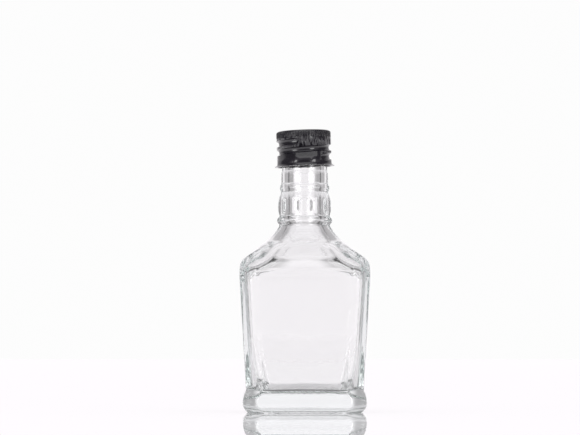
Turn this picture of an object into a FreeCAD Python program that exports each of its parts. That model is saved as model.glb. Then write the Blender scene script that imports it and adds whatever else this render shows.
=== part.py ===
"""Square glass miniature bottle with a rolled aluminium screw cap.

The frame has +Z up, the origin on the axis at the level of the bearing ring, and the front
face towards -Y. All lengths are in millimetres and all angles in degrees. The bottle is one
hollow piece of moulded flint glass. The cap is one thin shell, seated slightly askew.
"""
import FreeCAD, Part
import math
import os

# Foot: the swollen square plinth under the body.
FOOT_WIDTH = 41.7
FOOT_BELLY_HEIGHT = 3.4
FOOT_HEIGHT = 7.8
FOOT_CORNER = 5.6
REST_WIDTH = 37.6
RING_WIDTH = 3.2
FOOT_UNDER = (0.75, 0.37)
FOOT_OVER = (0.28, 0.57)
FOOT_TUCK = 0.5

# Push-up: the recess under the foot, as shares of its height and of its width.
PUSH_UP = 1.2
PUSH_UP_CORNER = 8.0
PUSH_UP_STEPS = ((-0.4, 1.05), (0.0, 1.0), (0.6, 0.8), (1.0, 0.4))

# Body: four flats that widen upwards, with a facet down each corner.
WAIST_WIDTH = 39.2
BODY_WIDTH = 43.4
BODY_HEIGHT = 47.8
STRAIGHT_HEIGHT = 4.1
BODY_CORNER = 5.7
BODY_BOW = 1.2
FOOT_BOW = 3.8
FACET_BOW = 18.0
FOOT_FACET_BOW = 24.0

# Shoulder: a rounded fold and a slope that turn the square body into the round neck.
FOLD_RADIUS = 4.8
SLOPE_ANGLE = 39.0
COLLAR_RADIUS = 14.2
LENS_START = 0.2
LENS_END = 0.4

# Neck, from the flared collar to the lip.
FLARE_HEIGHT = 6.6
FLARE_DIP = 0.75
COLLAR_TUCK = 1.0
NECK_RADIUS = 7.85
NECK_ROOT_RADIUS = 8.3
LOWER_BEAD_RADIUS = 9.3
LOWER_BEAD_HEIGHT = 2.7
BARREL_HEIGHT = 7.6
BARREL_RADIUS = 8.88
BARREL_END_RADIUS = 8.35
BARREL_FACETS = 10
BARREL_EASE = 0.15
BARREL_TAPER = 0.4
BARREL_TUCK = 0.4
UPPER_BEAD_RADIUS = 8.35
UPPER_BEAD_HEIGHT = 2.4
BEAD_GAP = 0.8
PLAIN_NECK_HEIGHT = 4.0
STEP_DEPTH = 0.25
FINISH_HEIGHT = 13.5
LIP_ROUND = 0.8

# Glass inside: the cavity and the bore.
WALL = 2.6
SHOULDER_WALL = 3.0
BASE_THICKNESS = 6.2
HEEL_ROUND = 2.2
HEEL_GAIN = 0.8
HEEL_RISE = 20.0
CAVITY_CORNER = 3.4
HEEL_CORNER = 5.2
ROOF_CORNER = 5.9
ROOF_RISE = 4.5
CAVITY_FOLD_RADIUS = 5.0
BORE_RADIUS = 5.2
BORE_FLARE_DIP = 1.0

# Thread, shared by the finish of the neck and the groove rolled into the cap.
PITCH = 2.95
GROOVE_START_HEIGHT = 2.8
GROOVE_TURNS = 1.83
GROOVE_START_ANGLE = -47.0
GROOVE_LAND = 0.25
GROOVE_DEPTH = 0.8
THREAD_RADIUS = 0.6
THREAD_RUNOUT = 0.1

# Cap.
SHEET = 0.25
CAP_HEIGHT = 12.0
CAP_TOP_ROUND = 0.9
THREAD_CLEARANCE = 0.7
BRIM_OVERHANG = 0.85
BRIM_HEIGHT = 1.2
BRIM_EDGE = 0.15
BRIM_FLARE = (0.3, 0.42)
KNURL_COUNT = 70
KNURL_HEIGHT = 2.4
KNURL_DEPTH = 0.22
KNURL_RADIUS = 0.35
CAP_TILT = 2.0
SEAT_CLEARANCE = 0.03

# Bow of the flats in a section whose eight arcs make a full circle.
ROUND_BOW = 22.5

# Heights and radii that follow from the sizes above.
BODY_RADIUS = BODY_WIDTH / 2
SPREAD_LEVEL = BODY_HEIGHT - STRAIGHT_HEIGHT
HEEL_TOP = BASE_THICKNESS + HEEL_ROUND
FOLD_END_RADIUS = BODY_RADIUS - FOLD_RADIUS * (1 - math.sin(math.radians(SLOPE_ANGLE)))
FOLD_END_HEIGHT = BODY_HEIGHT + FOLD_RADIUS * math.cos(math.radians(SLOPE_ANGLE))
COLLAR_HEIGHT = FOLD_END_HEIGHT + (FOLD_END_RADIUS - COLLAR_RADIUS) * math.tan(math.radians(SLOPE_ANGLE))
LOWER_BEAD_BASE = COLLAR_HEIGHT + FLARE_HEIGHT
BARREL_BASE = LOWER_BEAD_BASE + LOWER_BEAD_HEIGHT
UPPER_BEAD_BASE = BARREL_BASE + BARREL_HEIGHT + BEAD_GAP
STEP_LEVEL = UPPER_BEAD_BASE + UPPER_BEAD_HEIGHT + PLAIN_NECK_HEIGHT
LIP_LEVEL = STEP_LEVEL + FINISH_HEIGHT
ROOT_RADIUS = NECK_RADIUS - STEP_DEPTH
CAP_RADIUS = ROOT_RADIUS + THREAD_RADIUS + THREAD_CLEARANCE + SHEET
GROOVE_RADIUS = (PITCH - GROOVE_LAND) / 2 - SHEET


def vec(x, y, z):
    """Short name for a FreeCAD vector."""
    return FreeCAD.Vector(x, y, z)


def section(height, reach, half_flat, flat_bow, corner_bow):
    """Closed outline of eight arcs: four flats and four corners.

    reach is the distance from the axis to the middle of a flat and half_flat is half the
    flat's chord. The bows are half the angles that the arcs turn through: a corner that turns
    through all that the flats leave over runs on smoothly, and one that turns less is a facet.
    """
    edge_reach = reach - half_flat * math.tan(math.radians(flat_bow / 2))
    half_chord = (edge_reach - half_flat) / math.sqrt(2)
    crown = half_chord * math.tan(math.radians(corner_bow / 2))
    across = ((edge_reach + half_flat) / math.sqrt(2) + crown) / math.sqrt(2)
    quarter = [
        (vec(-half_flat, -edge_reach, 0), vec(0, -reach, 0), vec(half_flat, -edge_reach, 0)),
        (vec(half_flat, -edge_reach, 0), vec(across, -across, 0), vec(edge_reach, -half_flat, 0)),
    ]
    edges = []
    for turn in range(4):
        place = FreeCAD.Placement(vec(0, 0, height), FreeCAD.Rotation(vec(0, 0, 1), 90 * turn))
        for points in quarter:
            edges.append(Part.Arc(*[place.multVec(point) for point in points]).toShape())
    return Part.Wire(edges)


def smooth_section(height, reach, corner_radius):
    """Rounded square without creases: each corner turns through all that the flats leave."""
    return section(height, reach, reach - corner_radius, BODY_BOW, 45 - BODY_BOW)


def loft(wires, straight=False):
    """Solid through the outlines, curved or straight from one to the next."""
    return Part.makeLoft(wires, True, straight)


def revolve(outline):
    """Solid of revolution about Z from an outline drawn in the XZ plane."""
    return Part.Face(Part.Wire(outline)).revolve(vec(0, 0, 0), vec(0, 0, 1), 360)


def line(start, end):
    """Straight edge in the XZ plane between two (radius, height) points."""
    return Part.LineSegment(vec(start[0], 0, start[1]), vec(end[0], 0, end[1])).toShape()


def arc(start, middle, end):
    """Arc in the XZ plane through three (radius, height) points."""
    points = [vec(radius, 0, height) for radius, height in (start, middle, end)]
    return Part.Arc(*points).toShape()


def blend(start, end, share):
    """Value that lies the given share of the way from start to end."""
    return start + (end - start) * share


def body_reach(height):
    """Distance from the axis to the middle of a body flat at a height below the shoulder."""
    share = (height - FOOT_HEIGHT) / (SPREAD_LEVEL - FOOT_HEIGHT)
    return blend(WAIST_WIDTH, BODY_WIDTH, min(share, 1.0)) / 2


def loft_along(profile, count, outline):
    """Solid through outlines that stand at evenly spaced points of a profile."""
    points = Part.Wire(profile).discretize(Number=count)
    return loft([outline(point.z, point.x) for point in points])


def facet_section(height, reach):
    """Section of the body: flats with a slight bow and a facet across each corner."""
    return section(height, reach, reach - BODY_CORNER, BODY_BOW, FACET_BOW)


def foot_section(height, reach):
    """Section of the foot: like the body's, with fuller flats and facets."""
    return section(height, reach, reach - FOOT_CORNER, FOOT_BOW, FOOT_FACET_BOW)


def shoulder_section(height, reach):
    """Section of the shoulder: square where the body ends and round at the collar."""
    share = ((height - BODY_HEIGHT) / (COLLAR_HEIGHT - BODY_HEIGHT)) ** 3
    round_flat = reach * math.sin(math.radians(ROUND_BOW))
    return section(
        height,
        reach,
        blend(reach - BODY_CORNER, round_flat, share),
        blend(BODY_BOW, ROUND_BOW, share),
        blend(FACET_BOW, 45 - ROUND_BOW, share),
    )


def make_foot():
    """Square plinth with a swollen side, which meets the body in a groove."""
    rest = (REST_WIDTH / 2, 0)
    belly = (FOOT_WIDTH / 2, FOOT_BELLY_HEIGHT)
    under = (blend(rest[0], belly[0], FOOT_UNDER[0]), blend(rest[1], belly[1], FOOT_UNDER[1]))
    groove = (WAIST_WIDTH / 2, FOOT_HEIGHT)
    over = (blend(belly[0], groove[0], FOOT_OVER[0]), blend(belly[1], groove[1], FOOT_OVER[1]))
    tucked = (groove[0] - FOOT_TUCK, groove[1] + FOOT_TUCK)
    profile = [arc(rest, under, belly), arc(belly, over, groove), line(groove, tucked)]
    return loft_along(profile, 14, foot_section)


def make_body():
    """Body and shoulder, from inside the foot to the collar of the neck."""
    steps = 11
    wires = []
    for step in range(steps + 1):
        height = blend(FOOT_HEIGHT / 2, BODY_HEIGHT, step / steps)
        wires.append(facet_section(height, body_reach(height)))
    fold_start = (BODY_RADIUS, BODY_HEIGHT)
    half_turn = math.radians((90 - SLOPE_ANGLE) / 2)
    fold_middle = (
        BODY_RADIUS - FOLD_RADIUS * (1 - math.cos(half_turn)),
        BODY_HEIGHT + FOLD_RADIUS * math.sin(half_turn),
    )
    fold_end = (FOLD_END_RADIUS, FOLD_END_HEIGHT)
    profile = [arc(fold_start, fold_middle, fold_end), line(fold_end, (COLLAR_RADIUS, COLLAR_HEIGHT))]
    return loft(wires).fuse(loft_along(profile, 12, shoulder_section))


def corner_reach():
    """Distance from the axis to the middle of a corner facet at the top of the body."""
    half_flat = BODY_RADIUS - BODY_CORNER
    edge_reach = BODY_RADIUS - half_flat * math.tan(math.radians(BODY_BOW / 2))
    half_chord = (edge_reach - half_flat) / math.sqrt(2)
    return (edge_reach + half_flat) / math.sqrt(2) + half_chord * math.tan(math.radians(FACET_BOW / 2))


def cut_shoulder_facets(body):
    """Slice the four corners of the shoulder flat, which leaves a lens-shaped facet on each."""
    low = (corner_reach(), BODY_HEIGHT + LENS_START)
    high = (COLLAR_RADIUS + LENS_END, COLLAR_HEIGHT)
    slope = math.degrees(math.atan2(high[1] - low[1], low[0] - high[0]))
    size = BODY_WIDTH
    for turn in range(4):
        slab = Part.makeBox(size, size, size, vec(-size / 2, -size / 2, 0))
        slab.rotate(vec(0, 0, 0), vec(0, 1, 0), slope)
        slab.translate(vec(low[0], 0, low[1]))
        slab.rotate(vec(0, 0, 0), vec(0, 0, 1), 45 + 90 * turn)
        body = body.cut(slab)
    return body


def make_neck():
    """Round neck with its flare, two beads, plain stretch and the finish under the cap."""
    tuck = (COLLAR_RADIUS - 1.5 * COLLAR_TUCK, COLLAR_HEIGHT - COLLAR_TUCK)
    flare_middle = (
        blend(COLLAR_RADIUS, NECK_ROOT_RADIUS, 0.5) - FLARE_DIP,
        COLLAR_HEIGHT + FLARE_HEIGHT / 2,
    )
    bead_edge = (NECK_ROOT_RADIUS, LOWER_BEAD_BASE)
    bead_top = (BARREL_END_RADIUS, BARREL_BASE)
    barrel_top = (BARREL_END_RADIUS - BARREL_TAPER, BARREL_BASE + BARREL_HEIGHT)
    upper_edge = (NECK_RADIUS, UPPER_BEAD_BASE)
    upper_top = (NECK_RADIUS, UPPER_BEAD_BASE + UPPER_BEAD_HEIGHT)
    lip_middle = LIP_ROUND * (1 - math.sqrt(0.5))
    outline = [
        line((0, tuck[1]), tuck),
        line(tuck, (COLLAR_RADIUS, COLLAR_HEIGHT)),
        arc((COLLAR_RADIUS, COLLAR_HEIGHT), flare_middle, bead_edge),
        arc(bead_edge, (LOWER_BEAD_RADIUS, LOWER_BEAD_BASE + LOWER_BEAD_HEIGHT / 2), bead_top),
        line(bead_top, barrel_top),
        line(barrel_top, upper_edge),
        arc(upper_edge, (UPPER_BEAD_RADIUS, UPPER_BEAD_BASE + UPPER_BEAD_HEIGHT / 2), upper_top),
        line(upper_top, (NECK_RADIUS, STEP_LEVEL)),
        line((NECK_RADIUS, STEP_LEVEL), (ROOT_RADIUS, STEP_LEVEL + STEP_DEPTH)),
        line((ROOT_RADIUS, STEP_LEVEL + STEP_DEPTH), (ROOT_RADIUS, LIP_LEVEL - LIP_ROUND)),
        arc(
            (ROOT_RADIUS, LIP_LEVEL - LIP_ROUND),
            (ROOT_RADIUS - lip_middle, LIP_LEVEL - lip_middle),
            (ROOT_RADIUS - LIP_ROUND, LIP_LEVEL),
        ),
        line((ROOT_RADIUS - LIP_ROUND, LIP_LEVEL), (0, LIP_LEVEL)),
        line((0, LIP_LEVEL), (0, tuck[1])),
    ]
    return revolve(outline)


def make_barrel():
    """Swollen stretch between the beads, with upright lens-shaped facets round it."""
    base = BARREL_BASE - BARREL_TUCK
    top = BARREL_BASE + BARREL_HEIGHT + BARREL_TUCK
    low_edge = (BARREL_END_RADIUS - BARREL_EASE, base)
    high_edge = (BARREL_END_RADIUS - BARREL_TAPER, top)
    middle = (BARREL_RADIUS, blend(base, top, 0.5))
    outline = [
        line((0, base), low_edge),
        arc(low_edge, middle, high_edge),
        line(high_edge, (0, top)),
        line((0, top), (0, base)),
    ]
    barrel = revolve(outline)
    flat_reach = BARREL_RADIUS * math.cos(math.radians(180 / BARREL_FACETS))
    size = 2 * BARREL_RADIUS
    for index in range(BARREL_FACETS):
        slab = Part.makeBox(size, size, size, vec(flat_reach, -size / 2, base - 1))
        slab.rotate(vec(0, 0, 0), vec(0, 0, 1), 360 / BARREL_FACETS * (index + 0.5))
        barrel = barrel.cut(slab)
    return barrel


def heel_share(height):
    """How far the glass has thickened towards the heel: 0 in the plain wall, 1 at the heel."""
    return max(0.0, 1 - (height - HEEL_TOP) / HEEL_RISE) ** 2


def cavity_reach(height):
    """Distance from the axis to the middle of a cavity wall, which thickens towards the heel."""
    return body_reach(height) - WALL - HEEL_GAIN * heel_share(height)


def cavity_corner(height):
    """Corner radius of the cavity, which grows towards the heel and towards the roof."""
    roof_share = min(max(0.0, 1 - (BODY_HEIGHT - height) / ROOF_RISE), 1.0) ** 2
    gain = blend(0, HEEL_CORNER - CAVITY_CORNER, heel_share(height))
    return CAVITY_CORNER + gain + blend(0, ROOF_CORNER - CAVITY_CORNER, roof_share)


def cavity_section(height, reach):
    """Section of the cavity: a rounded square whose corners fill out to a circle at the bore."""
    if height < BODY_HEIGHT:
        level = max(height, HEEL_TOP)
        corner = cavity_corner(level) * min(1.0, reach / cavity_reach(level))
        return smooth_section(height, reach, corner)
    share = min((height - BODY_HEIGHT) / (COLLAR_HEIGHT - BODY_HEIGHT), 1.0)
    half_flat = blend(reach - ROOF_CORNER, reach * math.sin(math.radians(ROUND_BOW)), share)
    flat_bow = blend(BODY_BOW, ROUND_BOW, share)
    return section(height, reach, half_flat, flat_bow, 45 - flat_bow)


def make_cavity():
    """Air inside the glass: a rounded square chamber that closes to the round bore."""
    waist = cavity_reach(HEEL_TOP)
    diagonal = HEEL_ROUND * math.sqrt(0.5)
    heel = [arc(
        (waist - HEEL_ROUND, BASE_THICKNESS),
        (waist - HEEL_ROUND + diagonal, HEEL_TOP - diagonal),
        (waist, HEEL_TOP),
    )]
    slope = math.radians(SLOPE_ANGLE)
    side = BODY_RADIUS - WALL
    half_turn = math.radians((90 - SLOPE_ANGLE) / 2)
    fold_end = side - CAVITY_FOLD_RADIUS * (1 - math.sin(slope))
    line_end_height = FOLD_END_HEIGHT - SHOULDER_WALL / math.cos(slope)
    fold_end_height = line_end_height + (FOLD_END_RADIUS - fold_end) * math.tan(slope)
    fold_start_height = fold_end_height - CAVITY_FOLD_RADIUS * math.cos(slope)
    fold_middle = (
        side - CAVITY_FOLD_RADIUS * (1 - math.cos(half_turn)),
        fold_start_height + CAVITY_FOLD_RADIUS * math.sin(half_turn),
    )
    slope_end = (
        COLLAR_RADIUS - SHOULDER_WALL * math.sin(slope),
        COLLAR_HEIGHT - SHOULDER_WALL * math.cos(slope),
    )
    bore_start = (BORE_RADIUS, LOWER_BEAD_BASE + LOWER_BEAD_HEIGHT / 2)
    flare_middle = (
        blend(slope_end[0], bore_start[0], 0.5) - BORE_FLARE_DIP,
        blend(slope_end[1], bore_start[1], 0.5) - BORE_FLARE_DIP,
    )
    roof = [
        arc((side, fold_start_height), fold_middle, (fold_end, fold_end_height)),
        line((fold_end, fold_end_height), slope_end),
        arc(slope_end, flare_middle, bore_start),
    ]
    steps = 12
    wires = []
    for step in range(steps + 1):
        height = blend(HEEL_TOP, fold_start_height, step / steps)
        wires.append(cavity_section(height, cavity_reach(height)))
    bore = Part.makeCylinder(BORE_RADIUS, LIP_LEVEL - bore_start[1] + 1, vec(0, 0, bore_start[1]))
    chamber = loft_along(heel, 7, cavity_section).fuse(loft(wires))
    return chamber.fuse(loft_along(roof, 18, cavity_section)).fuse(bore)


def make_push_up():
    """Shallow recess under the base, which leaves a narrow bearing ring to stand on."""
    reach = REST_WIDTH / 2 - RING_WIDTH
    return loft([
        smooth_section(height * PUSH_UP, share * reach, share * PUSH_UP_CORNER)
        for height, share in PUSH_UP_STEPS
    ], straight=True)


def helix_tube(radius, start_height, start_angle, turns, tube_radius):
    """Round bar wound in a right-handed helix about Z."""
    helix = Part.makeHelix(PITCH, PITCH * turns, radius)
    profile = Part.Wire(Part.makeCircle(tube_radius, vec(radius, 0, 0), vec(0, 1, 0)))
    tube = Part.Wire(helix).makePipeShell([profile], True, True)
    tube.rotate(vec(0, 0, 0), vec(0, 0, 1), start_angle)
    tube.translate(vec(0, 0, start_height))
    return tube


def make_thread(cap_base):
    """Thread of the glass finish, half a pitch above the groove that is rolled in the cap."""
    start = cap_base + GROOVE_START_HEIGHT + PITCH / 2
    return helix_tube(ROOT_RADIUS, start, GROOVE_START_ANGLE, GROOVE_TURNS - THREAD_RUNOUT, THREAD_RADIUS)


def make_bottle(cap_base):
    """The glass: foot, body, neck, barrel and thread, less the cavity and the push-up."""
    glass = make_foot().fuse(cut_shoulder_facets(make_body()))
    glass = glass.fuse(make_neck()).fuse(make_barrel())
    glass = glass.fuse(make_thread(cap_base))
    glass = glass.cut(make_cavity()).cut(make_push_up())
    return glass.removeSplitter()


def cap_outline(inset):
    """Half profile of the cap from the brim to the crown, moved in by inset."""
    side = CAP_RADIUS - inset
    top = CAP_HEIGHT - inset
    round_in = CAP_TOP_ROUND - inset
    diagonal = round_in * (1 - math.sqrt(0.5))
    low = -BRIM_HEIGHT if inset else 0.0
    brim_edge = CAP_RADIUS + BRIM_OVERHANG
    brim_low = (brim_edge, low + BRIM_EDGE)
    flare = (side + BRIM_OVERHANG * BRIM_FLARE[0], blend(brim_low[1], BRIM_HEIGHT - inset, BRIM_FLARE[1]))
    edges = [
        line((0, low), (brim_edge, low)),
        line((brim_edge, low), brim_low),
        arc(brim_low, flare, (side, BRIM_HEIGHT - inset)),
        line((side, BRIM_HEIGHT - inset), (side, top - round_in)),
        arc((side, top - round_in), (side - diagonal, top - diagonal), (side - round_in, top)),
        line((side - round_in, top), (0, top)),
        line((0, top), (0, low)),
    ]
    return edges


def press_groove(shell, tool_radius):
    """Press the rolled groove into a shell with a round tool, which leaves rounded ends."""
    centre = CAP_RADIUS - GROOVE_DEPTH + GROOVE_RADIUS
    shell = shell.cut(helix_tube(centre, GROOVE_START_HEIGHT, GROOVE_START_ANGLE, GROOVE_TURNS, tool_radius))
    for turns in (0, GROOVE_TURNS):
        ball = Part.makeSphere(tool_radius, vec(centre, 0, GROOVE_START_HEIGHT + PITCH * turns))
        ball.rotate(vec(0, 0, 0), vec(0, 0, 1), GROOVE_START_ANGLE + 360 * turns)
        shell = shell.cut(ball)
    return shell


def make_cap():
    """Thin aluminium shell with a knurled crown edge, a rolled groove and a flared brim."""
    outside = press_groove(revolve(cap_outline(0)), GROOVE_RADIUS)
    inside = press_groove(revolve(cap_outline(SHEET)), GROOVE_RADIUS + SHEET)
    cap = outside.cut(inside)
    notch_place = vec(CAP_RADIUS + KNURL_RADIUS - KNURL_DEPTH, 0, CAP_HEIGHT - KNURL_HEIGHT)
    notches = []
    for index in range(KNURL_COUNT):
        notch = Part.makeCylinder(KNURL_RADIUS, KNURL_HEIGHT, notch_place)
        notch.rotate(vec(0, 0, 0), vec(0, 0, 1), 360 / KNURL_COUNT * index)
        notches.append(notch)
    return cap.cut(Part.Compound(notches))


def seat_cap(cap, cap_base):
    """Tip the cap to its slight lean and set it down on the lip."""
    cap.rotate(vec(0, 0, 0), vec(0, 1, 0), -CAP_TILT)
    cap.translate(vec(0, 0, cap_base))
    return cap


def main():
    os.makedirs("parts", exist_ok=True)
    tilt = math.radians(CAP_TILT)
    rim_lift = (ROOT_RADIUS - LIP_ROUND) * math.tan(tilt)
    cap_base = LIP_LEVEL + SEAT_CLEARANCE + rim_lift - (CAP_HEIGHT - SHEET) / math.cos(tilt)
    bottle = make_bottle(cap_base)
    cap = seat_cap(make_cap(), cap_base)
    bottle.exportStep("parts/bottle.step")
    cap.exportStep("parts/cap.step")
    for name, shape in (("bottle", bottle), ("cap", cap)):
        print(name, len(shape.Solids), "solid, valid:", shape.isValid(), "volume", round(shape.Volume, 1))


main()
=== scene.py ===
"""Finish, lighting and camera for a square glass miniature bottle with a black screw cap."""
import math

import bpy
from mathutils import Matrix, Vector


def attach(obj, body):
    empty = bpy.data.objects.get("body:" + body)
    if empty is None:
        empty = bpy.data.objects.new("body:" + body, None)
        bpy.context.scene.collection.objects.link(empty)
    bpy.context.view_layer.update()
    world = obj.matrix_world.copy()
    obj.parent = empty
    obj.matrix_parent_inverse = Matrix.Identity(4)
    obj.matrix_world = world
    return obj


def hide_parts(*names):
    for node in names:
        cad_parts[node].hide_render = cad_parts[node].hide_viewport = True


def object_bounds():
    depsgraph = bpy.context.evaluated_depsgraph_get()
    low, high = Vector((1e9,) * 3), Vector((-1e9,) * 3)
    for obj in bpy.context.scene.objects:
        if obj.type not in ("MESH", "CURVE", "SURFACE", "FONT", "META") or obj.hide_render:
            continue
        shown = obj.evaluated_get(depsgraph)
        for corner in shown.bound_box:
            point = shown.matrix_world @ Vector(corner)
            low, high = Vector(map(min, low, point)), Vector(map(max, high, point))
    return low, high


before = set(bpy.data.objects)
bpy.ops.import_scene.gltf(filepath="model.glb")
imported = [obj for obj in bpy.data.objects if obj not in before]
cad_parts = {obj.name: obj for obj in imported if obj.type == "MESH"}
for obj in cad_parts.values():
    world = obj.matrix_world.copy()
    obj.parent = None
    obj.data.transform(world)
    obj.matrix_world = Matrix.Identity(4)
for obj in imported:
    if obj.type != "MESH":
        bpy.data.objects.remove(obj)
CAD_LOW, CAD_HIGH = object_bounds()

bl_info = {
    "name": "Miniature Spirits Bottle",
    "version": (1, 0, 0),
    "blender": (4, 5, 0),
    "location": "View3D > Sidebar > Bottle",
    "description": "Builds a square flint glass miniature and its lacquered screw cap",
    "category": "Object",
}

MM = 0.001

# Mesh of the pieces
WELD_DISTANCE = 0.002 * MM
SOFTENING_PASSES = 4
SOFTENING_FACTOR = 0.5
GLASS_TRIANGLES = 180000
GLASS_EDGE_ANGLE = 40
CAP_EDGE_ANGLE = 35
SCALLOP_SIDES = 20

# Waves and orange peel: how far apart their features are, and how deep the peel is
WAVE_SPACING = 7.0 * MM
PEEL_SPACING = 0.5 * MM
PEEL_DEPTH = 0.002 * MM
SHEEN_SPACING = 2.0 * MM

# Soft boxes: name, azimuth and elevation in degrees, distance, width and height in metres, watts
SOFT_BOXES = (
    ("left_soft_box", -45, 8, 0.9, (0.36, 0.7), 2.6),
    ("right_soft_box", 38, 8, 0.9, (0.30, 0.7), 2.2),
    ("top_light", 0, 80, 1.2, (1.0, 1.0), 3),
)

# Surround seen in and through the pieces. It is white behind the bottle, and each zone lies over the
# ones before it: its direction, where it starts, where it is full, and its level
ZONES = (
    ("Above", 0.24, 0.46, 0.66),
    ("Beside", 0.17, 0.33, 0.46),
    ("Behind", 0.62, 0.40, 0.12),
    ("Behind", -0.15, -0.40, 0.36),
    ("Behind", -0.80, -0.95, 0.10),
)
SURROUND_TINT = "#FFFCFF"
SOFT_LEVEL = 0.78
BACKDROP_LEVEL = 0.98

# Floor, view and light paths
FLOOR_SIZE = 8.0
VIEW_WIDTH = 194.6 * MM
VIEW_SIDE = -4.9 * MM
VIEW_CENTRE_HEIGHT = 65.2 * MM
SENSOR_WIDTH = 36.0
LIGHT_BOUNCES = 40


# Small helpers

def linear(hex_colour):
    """Linear RGBA of an sRGB hex colour."""
    channels = [int(hex_colour[i:i + 2], 16) / 255 for i in (1, 3, 5)]
    return tuple(c / 12.92 if c <= 0.04045 else ((c + 0.055) / 1.055) ** 2.4 for c in channels) + (1.0,)


def node(tree, kind, settings=None, inputs=None):
    """Add a shader node, set its properties, and set or link its inputs."""
    made = tree.nodes.new(kind)
    for name, value in (settings or {}).items():
        setattr(made, name, value)
    for key, value in (inputs or {}).items():
        if isinstance(value, bpy.types.NodeSocket):
            tree.links.new(value, made.inputs[key])
        else:
            made.inputs[key].default_value = value
    return made


def new_material(name):
    """Empty material with its node tree and output."""
    material = bpy.data.materials.new(name)
    material.use_nodes = True
    tree = material.node_tree
    tree.nodes.clear()
    return material, tree, tree.nodes.new("ShaderNodeOutputMaterial")


def deselect():
    """Leave nothing selected, in object mode."""
    if bpy.context.object and bpy.context.object.mode != "OBJECT":
        bpy.ops.object.mode_set(mode="OBJECT")
    bpy.ops.object.select_all(action="DESELECT")


def activate(piece):
    """Make one object the selected and active one."""
    deselect()
    piece.select_set(True)
    bpy.context.view_layer.objects.active = piece


def copy_of_node(name, piece_name):
    """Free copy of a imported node, with its loose triangles welded."""
    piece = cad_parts[name].copy()
    piece.data = piece.data.copy()
    piece.name = piece_name
    piece.data.name = piece_name
    piece.parent = None
    for key in list(piece.keys()):
        del piece[key]
    bpy.context.scene.collection.objects.link(piece)
    piece.matrix_world = Matrix.Identity(4)
    piece.data.materials.clear()
    activate(piece)
    bpy.ops.object.mode_set(mode="EDIT")
    bpy.ops.mesh.select_all(action="SELECT")
    bpy.ops.mesh.remove_doubles(threshold=WELD_DISTANCE)
    bpy.ops.mesh.normals_make_consistent(inside=False)
    bpy.ops.object.mode_set(mode="OBJECT")
    return piece


def apply_modifier(piece, kind, **settings):
    """Add a modifier, set it and apply it."""
    activate(piece)
    modifier = piece.modifiers.new(kind.title(), kind)
    for name, value in settings.items():
        setattr(modifier, name, value)
    bpy.ops.object.modifier_apply(modifier=modifier.name)


# Sizes and colours

class MiniatureBottleSettings(bpy.types.PropertyGroup):
    """Sizes and colours that a user may change."""
    glass_tint: bpy.props.StringProperty(
        name="Glass tint", description="Colour that thick flint glass passes", default="#C4E4DE")
    glass_depth: bpy.props.FloatProperty(
        name="Tint density", description="How quickly the tint builds up through the glass, per metre",
        default=3.0)
    glass_wave: bpy.props.FloatProperty(
        name="Glass waviness", description="Depth of the slow waves in the glass surface",
        default=0.012 * MM, unit="LENGTH")
    glass_grain: bpy.props.FloatProperty(
        name="Glass mesh size", description="Spacing of the glass mesh", default=0.3 * MM, unit="LENGTH")
    ring_reach: bpy.props.FloatProperty(
        name="Bearing ring reach", description="From the axis to the middle of the bearing ring",
        default=17.8 * MM, unit="LENGTH")
    scallops: bpy.props.IntProperty(
        name="Scallops", description="Number of scallops under each side", default=13)
    scallop_pitch: bpy.props.FloatProperty(
        name="Scallop pitch", description="Spacing of the scallops", default=2.1 * MM, unit="LENGTH")
    scallop_width: bpy.props.FloatProperty(
        name="Scallop width", description="Of each scallop along the ring", default=1.7 * MM, unit="LENGTH")
    scallop_height: bpy.props.FloatProperty(
        name="Scallop height", description="Of each scallop above the floor", default=0.45 * MM,
        unit="LENGTH")
    scallop_length: bpy.props.FloatProperty(
        name="Scallop length", description="Of each scallop across the ring", default=5.0 * MM,
        unit="LENGTH")
    lacquer: bpy.props.StringProperty(
        name="Lacquer", description="Colour of the cap's lacquer", default="#18151D")
    camera_distance: bpy.props.FloatProperty(
        name="Camera distance", description="From the camera to the bottle's axis", default=1.0,
        unit="LENGTH")
    camera_height: bpy.props.FloatProperty(
        name="Camera height", description="Of the camera above the floor", default=0.022, unit="LENGTH")


def settings():
    """The add-on's settings on the current scene."""
    return bpy.context.scene.miniature_bottle


# Materials

def noise(tree, size, detail=2.0):
    """Smooth noise with features about size metres apart, fixed to the object."""
    where = node(tree, "ShaderNodeTexCoord")
    return node(tree, "ShaderNodeTexNoise", inputs={
        "Vector": where.outputs["Object"], "Scale": 1 / size, "Detail": detail}).outputs["Fac"]


def flint_glass():
    """Soda-lime flint glass, fire polished: clear, gently wavy, cool green in long paths."""
    material, tree, output = new_material("moulded_flint_glass")
    waves = node(tree, "ShaderNodeBump", inputs={
        "Strength": 1.0, "Distance": settings().glass_wave, "Height": noise(tree, WAVE_SPACING)})
    surface = node(tree, "ShaderNodeBsdfPrincipled", inputs={
        "Base Color": (1, 1, 1, 1),
        "Roughness": 0.0,
        "IOR": 1.52,
        "Transmission Weight": 1.0,
        "Normal": waves.outputs[0],
    })
    body = node(tree, "ShaderNodeVolumeAbsorption", inputs={
        "Color": linear(settings().glass_tint),
        "Density": settings().glass_depth,
    })
    tree.links.new(surface.outputs[0], output.inputs["Surface"])
    tree.links.new(body.outputs[0], output.inputs["Volume"])
    return material


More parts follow.
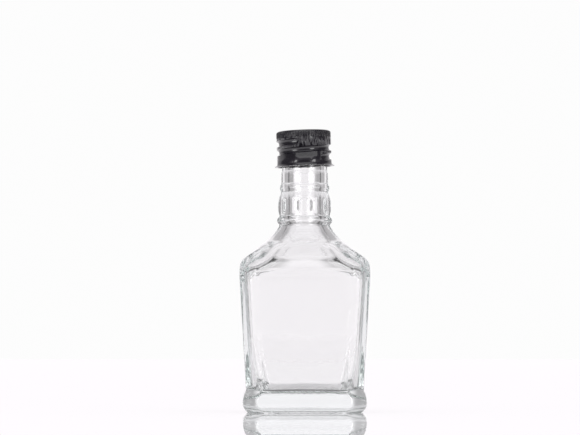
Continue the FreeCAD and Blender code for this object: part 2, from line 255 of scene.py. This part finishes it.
def black_lacquer():
    """Gloss stoving lacquer on rolled aluminium: violet black, with a faint orange peel in its shine."""
    material, tree, output = new_material("black_lacquered_aluminium")
    peel = node(tree, "ShaderNodeBump", inputs={
        "Strength": 1.0, "Distance": PEEL_DEPTH, "Height": noise(tree, PEEL_SPACING)})
    rough = node(tree, "ShaderNodeMapRange", inputs={
        "Value": noise(tree, SHEEN_SPACING, 4.0), "To Min": 0.12, "To Max": 0.22})
    surface = node(tree, "ShaderNodeBsdfPrincipled", inputs={
        "Base Color": linear(settings().lacquer),
        "Roughness": rough.outputs[0],
        "IOR": 1.5,
        "Coat Weight": 0.8,
        "Coat Roughness": 0.05,
        "Normal": peel.outputs[0],
        "Coat Normal": peel.outputs[0],
    })
    tree.links.new(surface.outputs[0], output.inputs["Surface"])
    return material


def white_acrylic():
    """Gloss white acrylic sheet: pale, with a near mirror at a low angle."""
    material, tree, output = new_material("white_acrylic")
    surface = node(tree, "ShaderNodeBsdfPrincipled", inputs={
        "Base Color": linear("#F4F4F5"),
        "Roughness": 0.02,
    })
    tree.links.new(surface.outputs[0], output.inputs["Surface"])
    return material


# Pieces

def make_scallops():
    """Rows of flattened bars across the bearing ring, which cut the scallops under each side."""
    wanted = settings()
    bars = []
    for side in range(4):
        turn = side * math.pi / 2
        for step in range(wanted.scallops):
            along = (step - (wanted.scallops - 1) / 2) * wanted.scallop_pitch
            place = Matrix.Rotation(turn, 3, "Z") @ Vector((wanted.ring_reach, along, CAD_LOW.z))
            bpy.ops.mesh.primitive_cylinder_add(
                vertices=SCALLOP_SIDES, radius=1.0, depth=wanted.scallop_length,
                location=place, rotation=(0, math.pi / 2, turn))
            bar = bpy.context.object
            bar.scale = (wanted.scallop_height, wanted.scallop_width / 2, 1.0)
            bars.append(bar)
    deselect()
    for bar in bars:
        bar.select_set(True)
    bpy.context.view_layer.objects.active = bars[0]
    bpy.ops.object.join()
    bpy.ops.object.transform_apply(location=True, rotation=True, scale=True)
    return bpy.context.object


class BOTTLE_OT_glass(bpy.types.Operator):
    """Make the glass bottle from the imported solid, with softened mould edges"""
    bl_idname = "bottle.glass"
    bl_label = "Glass bottle"

    def execute(self, context):
        glass = copy_of_node("bottle", "glass_bottle")
        apply_modifier(glass, "REMESH", mode="VOXEL", voxel_size=settings().glass_grain)
        apply_modifier(glass, "SMOOTH", factor=SOFTENING_FACTOR, iterations=SOFTENING_PASSES)
        apply_modifier(glass, "TRIANGULATE")
        apply_modifier(glass, "DECIMATE", ratio=min(1.0, GLASS_TRIANGLES / len(glass.data.polygons)))
        cutter = make_scallops()
        apply_modifier(glass, "BOOLEAN", operation="DIFFERENCE", object=cutter, solver="EXACT")
        activate(cutter)
        bpy.ops.object.delete()
        activate(glass)
        bpy.ops.object.shade_smooth_by_angle(angle=math.radians(GLASS_EDGE_ANGLE))
        glass.data.materials.append(flint_glass())
        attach(glass, "root")
        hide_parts("bottle")
        return {"FINISHED"}


class BOTTLE_OT_cap(bpy.types.Operator):
    """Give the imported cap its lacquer"""
    bl_idname = "bottle.cap"
    bl_label = "Screw cap"

    def execute(self, context):
        cap = copy_of_node("cap", "screw_cap")
        activate(cap)
        bpy.ops.object.shade_smooth_by_angle(angle=math.radians(CAP_EDGE_ANGLE))
        cap.data.materials.append(black_lacquer())
        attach(cap, "root")
        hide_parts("cap")
        return {"FINISHED"}


def soft_box(name, azimuth, elevation, distance, size, watts):
    """Area lamp that faces the bottle's middle from a direction given in degrees."""
    turn, rise = math.radians(azimuth), math.radians(elevation)
    aim = Vector((0, 0, (CAD_LOW.z + CAD_HIGH.z) / 2))
    away = Vector((math.sin(turn) * math.cos(rise), -math.cos(turn) * math.cos(rise), math.sin(rise)))
    lamp = bpy.data.lights.new(name, "AREA")
    lamp.shape = "RECTANGLE"
    lamp.size, lamp.size_y = size
    lamp.energy = watts
    holder = bpy.data.objects.new(name, lamp)
    bpy.context.scene.collection.objects.link(holder)
    holder.location = aim + away * distance
    holder.rotation_euler = away.to_track_quat("Z", "Y").to_euler()


def smooth_step(tree, value, start, end):
    """Share that eases from 0 at start to 1 at end."""
    step = node(tree, "ShaderNodeMapRange", {"interpolation_type": "SMOOTHSTEP"}, {
        "Value": value, "From Min": start, "From Max": end})
    return step.outputs[0]


def mix(tree, share, first, second):
    """Number that goes from first to second with share."""
    return node(tree, "ShaderNodeMix", {"data_type": "FLOAT"}, {
        "Factor": share, "A": first, "B": second}).outputs[0]


def make_world():
    """White surround behind the bottle that falls to a dim room in front of it."""
    world = bpy.data.worlds.new("white_surround")
    bpy.context.scene.world = world
    world.use_nodes = True
    tree = world.node_tree
    tree.nodes.clear()
    where = node(tree, "ShaderNodeTexCoord")
    parts = node(tree, "ShaderNodeSeparateXYZ", inputs={0: where.outputs["Generated"]})
    across = node(tree, "ShaderNodeMath", {"operation": "ABSOLUTE"}, {0: parts.outputs["X"]})
    directions = {"Above": parts.outputs["Z"], "Beside": across.outputs[0], "Behind": parts.outputs["Y"]}
    level = 1.0
    for direction, start, full, zone_level in ZONES:
        level = mix(tree, smooth_step(tree, directions[direction], start, full), level, zone_level)
    path = node(tree, "ShaderNodeLightPath")
    sharp = node(tree, "ShaderNodeMath", {"operation": "MAXIMUM"}, {
        0: path.outputs["Is Glossy Ray"], 1: path.outputs["Is Transmission Ray"]})
    room = node(tree, "ShaderNodeBackground", inputs={
        "Color": linear(SURROUND_TINT), "Strength": mix(tree, sharp.outputs[0], SOFT_LEVEL, level)})
    backdrop = node(tree, "ShaderNodeBackground", inputs={
        "Color": (1, 1, 1, 1), "Strength": BACKDROP_LEVEL})
    seen = node(tree, "ShaderNodeMixShader", inputs={
        0: path.outputs["Is Camera Ray"], 1: room.outputs[0], 2: backdrop.outputs[0]})
    output = node(tree, "ShaderNodeOutputWorld")
    tree.links.new(seen.outputs[0], output.inputs["Surface"])


class BOTTLE_OT_stage(bpy.types.Operator):
    """Set up the floor, the lamps, the surround and the camera"""
    bl_idname = "bottle.stage"
    bl_label = "Stage"

    def execute(self, context):
        deselect()
        bpy.ops.mesh.primitive_plane_add(size=FLOOR_SIZE, location=(0, 0, CAD_LOW.z))
        floor = context.object
        floor.name = "floor"
        floor.data.materials.append(white_acrylic())
        for box in SOFT_BOXES:
            soft_box(*box)
        make_world()
        wanted = settings()
        view = bpy.data.cameras.new("camera")
        holder = bpy.data.objects.new("camera", view)
        context.scene.collection.objects.link(holder)
        context.scene.camera = holder
        pitch = math.atan2(VIEW_CENTRE_HEIGHT - wanted.camera_height, wanted.camera_distance)
        holder.location = (VIEW_SIDE, -wanted.camera_distance, wanted.camera_height)
        holder.rotation_euler = (math.pi / 2 + pitch, 0, 0)
        view.sensor_width = SENSOR_WIDTH
        view.lens = SENSOR_WIDTH * wanted.camera_distance / VIEW_WIDTH
        context.scene.view_settings.view_transform = "Standard"
        # Thick glass turns black where light paths are cut short
        paths = context.scene.cycles
        paths.max_bounces = LIGHT_BOUNCES
        paths.glossy_bounces = LIGHT_BOUNCES
        paths.transmission_bounces = LIGHT_BOUNCES
        return {"FINISHED"}


class BOTTLE_PT_panel(bpy.types.Panel):
    """Lists the bottle's operators"""
    bl_label = "Miniature bottle"
    bl_idname = "BOTTLE_PT_panel"
    bl_space_type = "VIEW_3D"
    bl_region_type = "UI"
    bl_category = "Bottle"

    def draw(self, context):
        for operator in OPERATORS:
            self.layout.operator(operator.bl_idname)


OPERATORS = (BOTTLE_OT_glass, BOTTLE_OT_cap, BOTTLE_OT_stage)


def register():
    bpy.utils.register_class(MiniatureBottleSettings)
    bpy.types.Scene.miniature_bottle = bpy.props.PointerProperty(type=MiniatureBottleSettings)
    for operator in OPERATORS:
        bpy.utils.register_class(operator)
    bpy.utils.register_class(BOTTLE_PT_panel)


def unregister():
    bpy.utils.unregister_class(BOTTLE_PT_panel)
    for operator in reversed(OPERATORS):
        bpy.utils.unregister_class(operator)
    del bpy.types.Scene.miniature_bottle
    bpy.utils.unregister_class(MiniatureBottleSettings)


def main():
    register()
    bpy.ops.bottle.glass()
    bpy.ops.bottle.cap()
    bpy.ops.bottle.stage()


if __name__ == "__main__":
    main()
